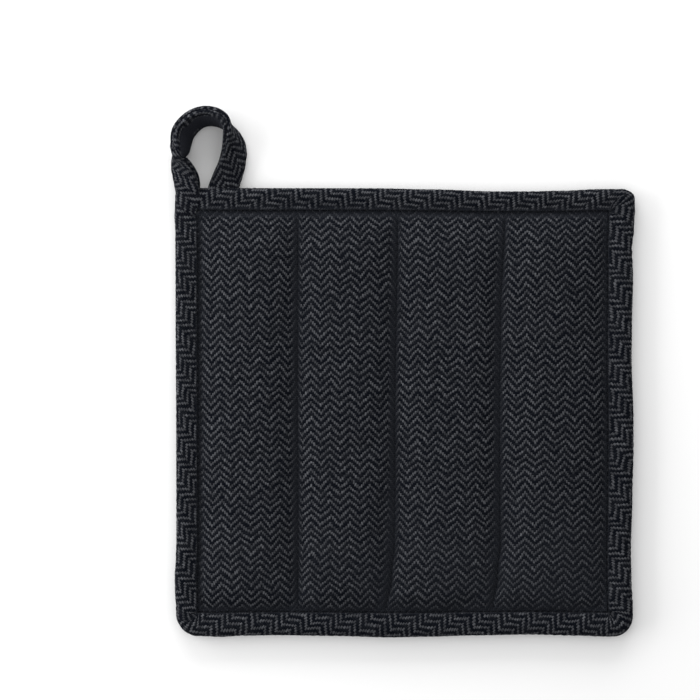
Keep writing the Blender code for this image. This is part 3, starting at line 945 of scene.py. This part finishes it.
def smooth_route(rows, step):
    """Rows carried to a smooth curve through all of them, about a step apart.

    Between two rows each column is a cubic whose slope at a row is half the difference of the
    rows on either side of it.
    """
    before = np.vstack([2 * rows[0] - rows[1], rows, 2 * rows[-1] - rows[-2]])
    slopes = (before[2:] - before[:-2]) / 2
    fine = []
    for start, end, out, into, length in zip(rows, rows[1:], slopes, slopes[1:],
                                             steps_along(rows[:, :2])):
        t = np.arange(0, 1, 1 / max(1, round(length / step)))[:, None]
        fine.append(start * (2 * t**3 - 3 * t**2 + 1) + out * (t**3 - 2 * t**2 + t)
                    + end * (3 * t**2 - 2 * t**3) + into * (t**3 - t**2))
    return np.vstack([*fine, rows[-1:]])


route = smooth_route(np.column_stack([LOOP_ROUTE, LOWER_EDGE, OPENNESS]), LOOP_STEP)
route[:, 6] = np.clip(route[:, 6], 0, 1)
print("loop's path:", len(route), "sections,", steps_along(route[:, :2]).sum().round(1), "mm")

# %% [markdown]
# Round the pad, a point of the section at some inset lies on the outline at that inset. In the
# loop, it lies beside the path, turned about it. The first few sections of the top edge are
# pressed thinner, because the strip comes back over them.

# %% Strip round the pad
def along_pad(inset):
    """The outline at an inset, clockwise from the top left corner to the end of the left side.

    It starts 6 mm before that corner, inside the strip that comes back there.
    """
    corner_a, right, corner_b, top, _, left, corner_d, bottom = outline(inset)
    parts = (top, corner_b, right, corner_a, bottom, corner_d, left)
    line = np.vstack([part[::-1] for part in parts])
    lead = np.arange(-6.0, -0.5, 1.5)[:, None] * [1, 0]
    return np.vstack([line[0] + lead, line])


stations = len(along_pad(0.0))
on_pad = np.zeros((stations, len(bound), 3))
for j, (inset, height) in enumerate(bound):
    on_pad[:, j, :2] = along_pad(inset)
    on_pad[:, j, 2] = MIDDLE_Z + height
start_x, start_y = on_pad[:, 0, :2].T
thinner = 0.26 * (1 - np.clip((start_x + 88.6) / 3.4, 0, 1) ** 2)
kept = np.where((start_y > 80) & (start_x < -82), 1 - thinner, 1.0)
on_pad[..., 2] = MIDDLE_Z + (on_pad[..., 2] - MIDDLE_Z) * kept[:, None]


# %% Strip in the loop
def in_loop(route):
    """Sections of the strip along the loop's path, turned about it."""
    way = np.gradient(route[:, :2], axis=0)
    way /= np.linalg.norm(way, axis=1)[:, None]
    up = np.array([0.0, 0.0, 1.0])
    sections = []
    for (px, py, turn, width, thick, rest, openness), (ax, ay) in zip(route, way):
        outward = np.array([-ay, ax, 0.0])
        c, s = np.cos(radians(turn)), np.sin(radians(turn))
        across, through = c * outward - s * up, s * outward + c * up
        middle = np.array([px, py, rest + abs(s) * (width - thick) / 2 + thick / 2])
        section = whole_section(width, thick, openness)
        sections.append(middle + (width / 2 - section[:, :1]) * across
                        + section[:, 1:] * through)
    return np.stack(sections)


strip = np.concatenate([on_pad, in_loop(route)[1:]])
print("strip:", strip.shape, "lowest", strip[..., 2].min().round(2), "highest",
      strip[..., 2].max().round(2))

# %% [markdown]
# Near the stitching the lip is drawn into small waves, and along the fold single yarns stand out
# by a few hundredths of a millimetre, so that neither is a ruled line.

# %% Waves of the lip and the fold
LIP_WAVE, FOLD_WAVE = 0.16, 0.07  # heights, mm

way = way_at(steps_along(strip[:, :, :2].mean(axis=1)))
at_lip = np.exp(-((bound[:, 0] - 9.0) / 1.6) ** 2) * (bound[:, 1] > 1.0)
strip[:, :, 2] += LIP_WAVE * at_lip * ripple(way, 5.0, 13.0)[:, None]
off_centre = strip - strip.mean(axis=1, keepdims=True)
off_centre /= np.linalg.norm(off_centre, axis=2, keepdims=True)
at_fold = np.exp(-(bound[:, 0] / 1.2) ** 2)
strip += off_centre * (FOLD_WAVE * at_fold * ripple(way, 1.8, 5.0, 20)[:, None])[..., None]
strip[..., 2] = np.maximum(strip[..., 2], 0.02)  # the lower side rests on the table

# %% [markdown]
# The strip's UV map is the way along it and the way round its section from the folded edge. Two
# numbers go with each point, both painted shade: how much falls on the inside of the loop, between
# the rolled edges, and how much on the lip in the ditch where it meets the pad. The grid's last
# column joins its first, which makes a tube, and a cap closes each of its hidden ends.

# %% Measure of the strip
def ring_lengths(points):
    """Way round each section, from the edge's middle, positive over the top face."""
    steps = np.linalg.norm(np.diff(points, axis=1), axis=2)
    around = np.hstack([np.zeros((len(points), 1)), np.cumsum(steps, axis=1)])
    middle = points.shape[1] // 2
    return around[:, middle:middle + 1] - around


lengths, around = strip.shape[:2]
outer = along_pad(3.0)
loop_steps = steps_along(route[:, :2])
loop_steps[0] += route[0, 1] - outer[-1, 1]  # the side ends a little before the loop begins
strip_way = way_at(np.concatenate([steps_along(outer), loop_steps]))
flattened = on_pad[100:101] * [1, 1, 0.5]  # the lip's short upright side counts for less
cloth_across = ring_lengths(flattened).repeat(lengths, axis=0)
cloth_across[stations:] = ring_lengths(strip)[stations:]
strip_faces = grid_faces(lengths, around, wrap=True)
strip_uv = np.dstack([np.broadcast_to(-strip_way[:, None], (lengths, around)), cloth_across])
print("strip's length, mm:", round(float(strip_way[-1]), 1))

# %% Painted shade inside the loop and on the lip
# painted shade on the loop's back face, but not on the rolled edges on either side of it
back_face = tape[:, 1] < -1.0
into_loop = np.maximum(strip_way - strip_way[stations], 0.0)
rolled_width = 1.9 + 1.2 * np.exp(-(((into_loop - 40.0) / 4.0) ** 2))
from_fold = np.minimum(tape[:, 0], TAPE_WIDTH - tape[:, 0])
between_rolls = np.clip((from_fold - rolled_width[:, None]) / 0.3, 0, 1)
past_twist = np.clip((np.arange(lengths) - stations - 20) / 8, 0, 1)
inside = past_twist[:, None] * (back_face * between_rolls)
# painted shade on the lip in a narrow line beside the ditch, and in a wider one along the top edge
lip_width = 0.55 + 0.9 * np.clip((outer[:, 1:2] - HEIGHT / 2 + 12.0) / 4.0, 0, 1)
lip_shade = np.zeros((lengths, around))
lip_shade[:stations] = np.exp(-(((bound[:, 0] - 10.2) / lip_width) ** 2))

# %% Strip piece
strip_piece = sewn_piece("bias_strip", strip.reshape(-1, 3), strip_faces,
                         strip_uv.reshape(-1, 2)[strip_faces], "cloth", bias_cotton)
# both attributes are painted shade for the bias cotton
note_points(strip_piece, "inside", inside)
note_points(strip_piece, "pressed", lip_shade)
close_ends(strip_piece)
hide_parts("binding", "hanging_loop")

# %% [markdown]
# ## Stitches
#
# A sewing machine makes a lockstitch: each face shows a row of short bars, and between two bars
# the thread dives through the cloth to lock with that of the other side. Here one bar is a
# six-sided grain of thread that swells in the middle and sinks at both ends, and all the bars of
# a face are one mesh. The rows run down the creases and round the pad beside the binding. They
# are dark and lie in the seams' shadow, so they show from close up and hardly from above.

# %% Height of a face
def surface_reader(thing):
    """A function that gives the height in mm of a piece's upper or lower skin under a point."""
    bpy.context.view_layer.update()
    skin = BVHTree.FromObject(thing, bpy.context.evaluated_depsgraph_get())

    def height(x, y, front):
        start = Vector(in_frame([x, y, 30.0 if front else -20.0]))
        hit = skin.ray_cast(start, Vector((0, 0, -1.0 if front else 1.0)))[0]
        return hit.z / MM

    return height


# %% Rows of stitches
STITCH_PITCH, STITCH_LENGTH, THREAD_RADIUS = 3.0, 2.45, 0.24  # mm
STITCH_SINK = 0.3  # how far a bar's ends go down, mm
RING_INSET = BINDING_WIDTH + 0.75


def seam_rows():
    """The lines that the machine sewed, as lists of points: three creases and one round."""
    up = np.arange(-PAD_ENDS[0] + 0.6, PAD_ENDS[1] - 0.6, STITCH_PITCH)
    rows = [np.stack([eased(up, line), up], axis=1) for line in STITCH_LINES]
    ring = np.vstack(outline(RING_INSET))
    ring = np.vstack([ring, ring[:1]])
    way = way_at(steps_along(ring))
    return rows + read_evenly(way, int(way[-1] / STITCH_PITCH), ring)


def stitches(rows, front, height):
    """Points, faces and UVs of all the bars on one side of the pad."""
    along = np.array([-1.0, -0.8, -0.4, 0.0, 0.4, 0.8, 1.0])
    ring = np.linspace(0, 2 * pi, 7)[:-1]
    half = STITCH_LENGTH / 2
    across = THREAD_RADIUS * (0.35 + 0.65 * np.sqrt(1 - (along * 0.96) ** 2))
    rise = (1.0 if front else -1.0) * (THREAD_RADIUS * 0.55 - STITCH_SINK * along**4)
    points = []
    for a, b in [pair for line in rows for pair in zip(line, line[1:])]:
        middle, way = (a + b) / 2, (b - a) / np.linalg.norm(b - a)
        side = np.array([-way[1], way[0]])
        cloth = [height(*(middle + way * half * k), front) for k in (-0.8, 0.0, 0.8)]
        z = np.interp(along, (-0.8, 0, 0.8), cloth) + rise
        if not front:
            z = np.maximum(z, THREAD_RADIUS + 0.02)
        centre = middle + way * half * along[:, None]
        block = [np.column_stack([centre + side * (across * np.cos(turn))[:, None],
                                  z + across * np.sin(turn) * 0.9]) for turn in ring]
        points.append(np.stack(block, axis=1).reshape(-1, 3))
    bar = grid_faces(len(along), len(ring), wrap=True)
    bar_uv = np.dstack(np.meshgrid(along * half, ring * THREAD_RADIUS, indexing="ij"))
    first = np.arange(len(points))[:, None, None] * len(points[0])
    return (np.vstack(points), (bar + first).reshape(-1, 4),
            np.tile(bar_uv.reshape(-1, 2)[bar], (len(points), 1, 1)))


height_on_pad = surface_reader(pad)
sewn = seam_rows()
for side, front in (("front", True), ("back", False)):
    shape, bars, thread_uv = stitches(sewn, front, height_on_pad)
    thread = sewn_piece(f"thread_{side}", shape, bars, thread_uv, "thread", thread_paint)
    close_ends(thread)
print("stitches on each side:", sum(len(line) - 1 for line in sewn))
